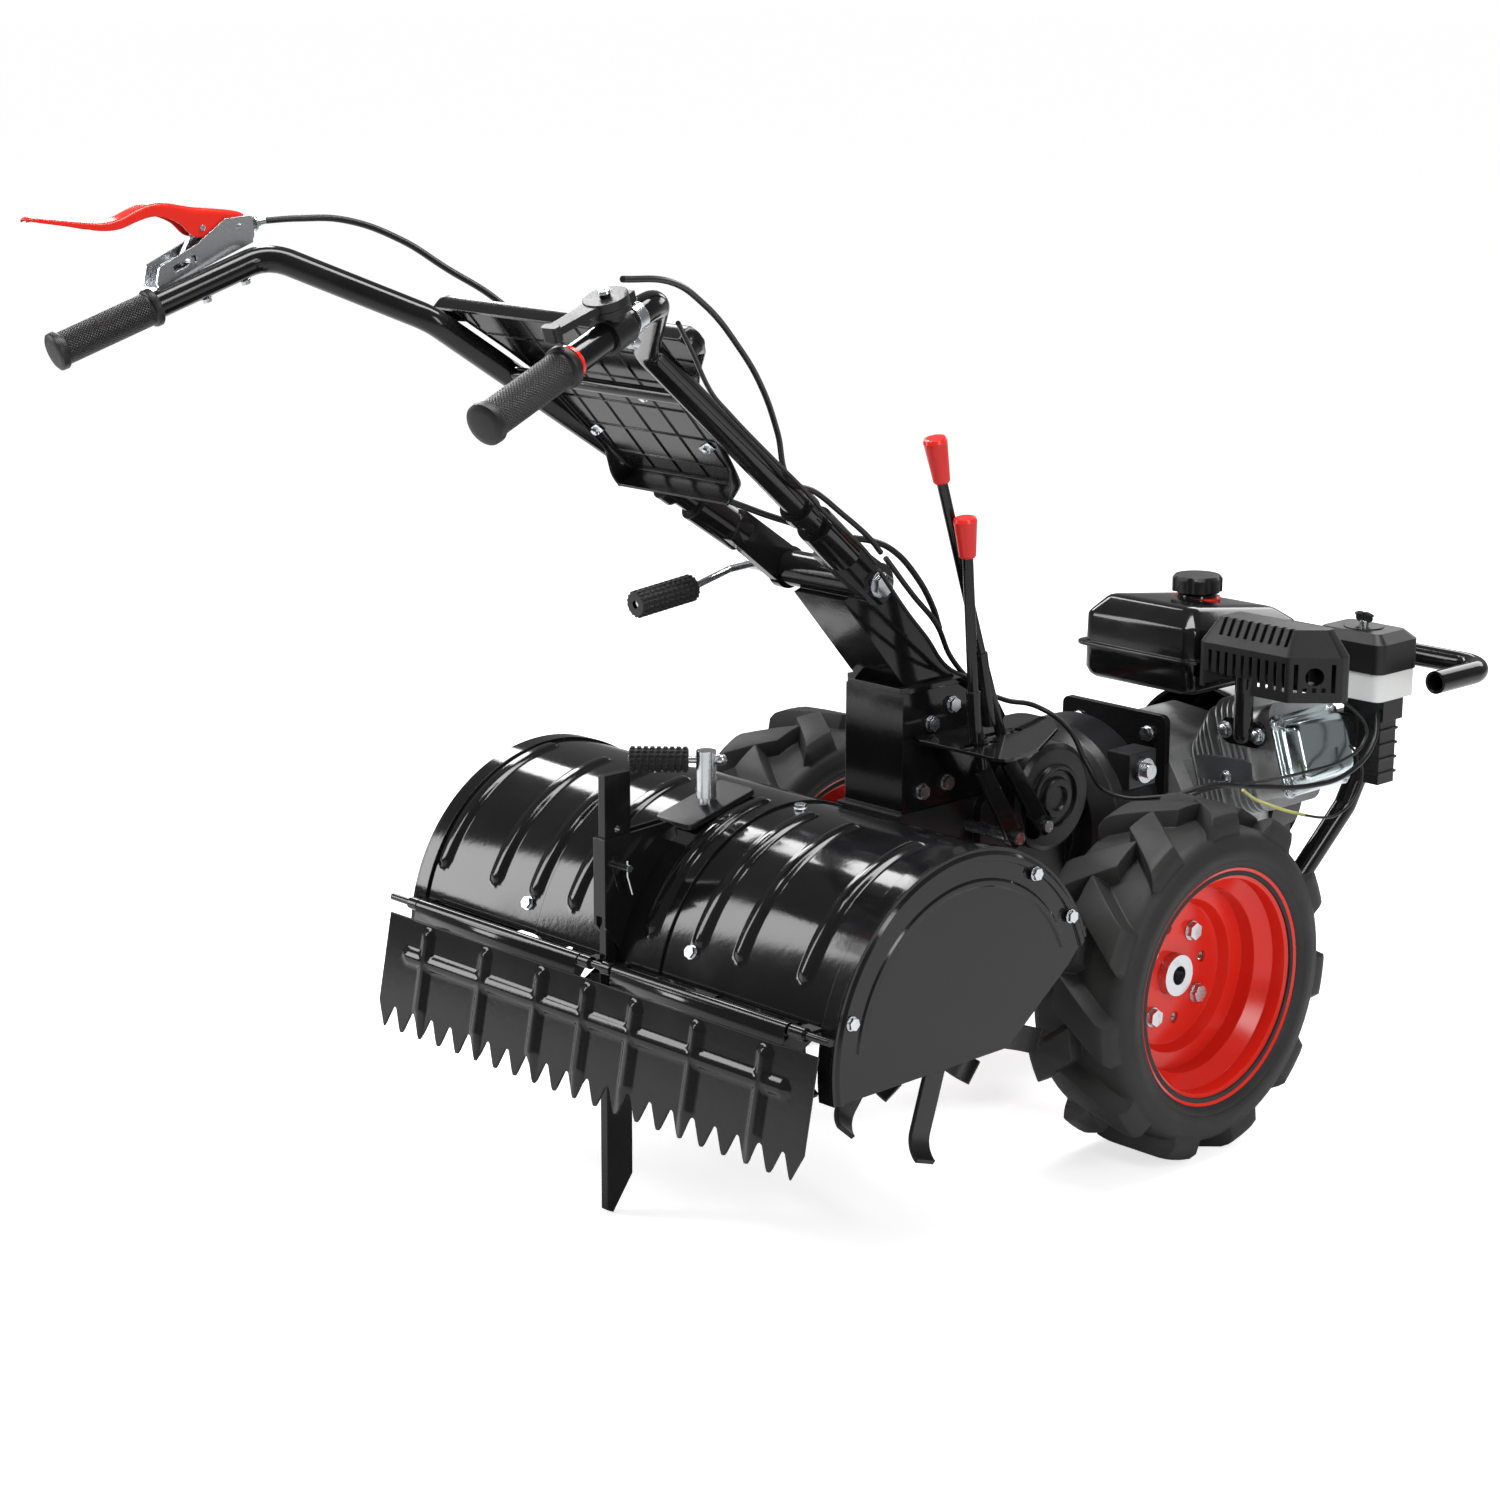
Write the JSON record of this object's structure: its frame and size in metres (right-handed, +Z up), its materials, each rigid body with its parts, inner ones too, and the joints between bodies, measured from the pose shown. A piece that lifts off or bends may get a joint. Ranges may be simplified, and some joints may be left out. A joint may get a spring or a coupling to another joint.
{
  "type": "walk-behind rear tine tiller",
  "caption": "Two-wheeled walk-behind tiller with a rear tine rotor under a hood, toothed flap, petrol engine and tilting handlebars.",
  "frame": {"origin": "on the ground, at the middle of the whole machine's box", "axes": "+Z up, +Y forward in the direction of travel, +X to the driver's right, the axle along X"},
  "size_m": [0.7156, 1.6867, 1.078],
  "materials": {
    "paint_black": "gloss powder coat",
    "cast_black": "black painted casting",
    "iron_black": "black painted",
    "signal_red": "gloss paint",
    "knob_red": "glossy",
    "zinc": "bright zinc plate",
    "zinc_blue": "bright bluish plate",
    "alloy": "as cast",
    "plastic_black": "matte",
    "filter_grey": "translucent",
    "rubber_black": "matte",
    "tyre_black": "matte"
  },
  "bodies": {
    "chassis": {"gear_case": "cast_black", "clutch_cover": "cast_black", "drive_housing": "cast_black", "engine_mount": "paint_black", "bumper": "paint_black", "mast_bracket": "paint_black", "mast": "paint_black", "gate_plate": "paint_black", "crankcase": "alloy", "cylinder_barrel": "alloy", "cylinder_head": "alloy", "valve_cover": "zinc_blue", "exhaust_pipe": "paint_black", "muffler_cover": "plastic_black", "fuel_tank": "paint_black", "fan_housing": "paint_black", "air_filter_cover": "plastic_black", "air_filter_body": "filter_grey", "carburettor": "plastic_black", "hood_left": "paint_black", "hood_centre": "paint_black", "hood_right": "paint_black", "end_plate_left": "paint_black", "end_plate_right": "paint_black", "tine_case": "cast_black", "flap_rod": "paint_black", "stake_bracket": "paint_black", "stake": "paint_black", "stake_pin": "zinc", "frame_bolts": "zinc", "frame_cables": "plastic_black"},
    "wheels": {"axle": "zinc", "rim_left": "signal_red", "rim_right": "signal_red", "tyre_left": "tyre_black", "tyre_right": "tyre_black", "wheel_bolts": "zinc"},
    "rotor": {"rotor_shaft": "iron_black", "tines": "iron_black"},
    "flap": {"flap": "paint_black"},
    "handlebar": {"handlebar_left": "paint_black", "handlebar_right": "paint_black", "console": "plastic_black", "hand_grips": "rubber_black", "clutch_bracket": "zinc", "throttle_body": "plastic_black", "handle_cables": "plastic_black"},
    "clutch_lever": {"clutch_lever": "signal_red"},
    "clutch_link": {"clutch_link": "zinc"},
    "throttle_lever": {"throttle_lever": "plastic_black"},
    "shift_a": {"shift_lever_a": "paint_black", "shift_knob_a": "knob_red"},
    "shift_b": {"shift_lever_b": "paint_black", "shift_knob_b": "knob_red"},
    "post_handle": {"depth_post": "zinc", "post_grip": "rubber_black"},
    "clamp_handle": {"clamp_lever": "zinc", "clamp_grip": "rubber_black"},
    "fuel_cap": {"fuel_cap": "plastic_black"},
    "starter_grip": {"starter_grip": "plastic_black"}
  },
  "joints": [
    {"name": "wheel_spin", "type": "hinge", "parent": "chassis", "child": "wheels", "pos_m": [0, 0.2325, 0.202], "axis": [1, 0, 0], "continuous": true},
    {"name": "rotor_spin", "type": "hinge", "parent": "chassis", "child": "rotor", "pos_m": [0, -0.1725, 0.238], "axis": [1, 0, 0], "continuous": true},
    {"name": "handlebar_tilt", "type": "hinge", "parent": "chassis", "child": "handlebar", "pos_m": [0, -0.0395, 0.657], "axis": [1, 0, 0], "range_deg": [-10, 10]},
    {"name": "clutch_squeeze", "type": "hinge", "parent": "handlebar", "child": "clutch_lever", "pos_m": [-0.333, -0.5855, 1.049], "axis": [1, 0, 0], "range_deg": [0, 16], "stiffness_Nm_per_rad": 4, "springref_deg": -20.05},
    {"name": "clutch_link_turn", "type": "hinge", "parent": "clutch_lever", "child": "clutch_link", "pos_m": [-0.333, -0.6295, 1.05], "axis": [1, 0, 0], "range_deg": [-38, 0]},
    {"name": "throttle_turn", "type": "hinge", "parent": "handlebar", "child": "throttle_lever", "pos_m": [0.30814, -0.6273, 0.99916], "axis": [0.0566, -0.334, 0.9409], "range_deg": [-15, 60]},
    {"name": "speed_lever", "type": "hinge", "parent": "chassis", "child": "shift_a", "pos_m": [0, 0.2125, 0.344], "axis": [1, 0, 0], "range_deg": [-8, 8]},
    {"name": "tine_drive_lever", "type": "hinge", "parent": "chassis", "child": "shift_b", "pos_m": [0, 0.1405, 0.347], "axis": [1, 0, 0], "range_deg": [-6, 6]},
    {"name": "flap_lift", "type": "hinge", "parent": "chassis", "child": "flap", "pos_m": [0, -0.3855, 0.282], "axis": [-1, 0, 0], "range_deg": [0, 65]},
    {"name": "post_turn", "type": "hinge", "parent": "chassis", "child": "post_handle", "pos_m": [0, -0.2265, 0.437], "axis": [0, 0, 1], "range_deg": [-60, 25]},
    {"name": "clamp_turn", "type": "hinge", "parent": "chassis", "child": "clamp_handle", "pos_m": [0, -0.0395, 0.657], "axis": [1, 0, 0], "range_deg": [0, 60]},
    {"name": "cap_turn", "type": "hinge", "parent": "chassis", "child": "fuel_cap", "pos_m": [0.003, 0.6045, 0.553], "axis": [0, 0, 1], "range_deg": [0, 90]},
    {"name": "starter_pull", "type": "slide", "parent": "chassis", "child": "starter_grip", "axis": [0, 1, 0], "range_m": [0, 0.4], "stiffness_N_per_m": 15, "springref_m": -0.05}
  ],
  "couplings": [
    {"joint": "clutch_link_turn", "follows": "clutch_squeeze", "ratio": -2.35}
  ]
}
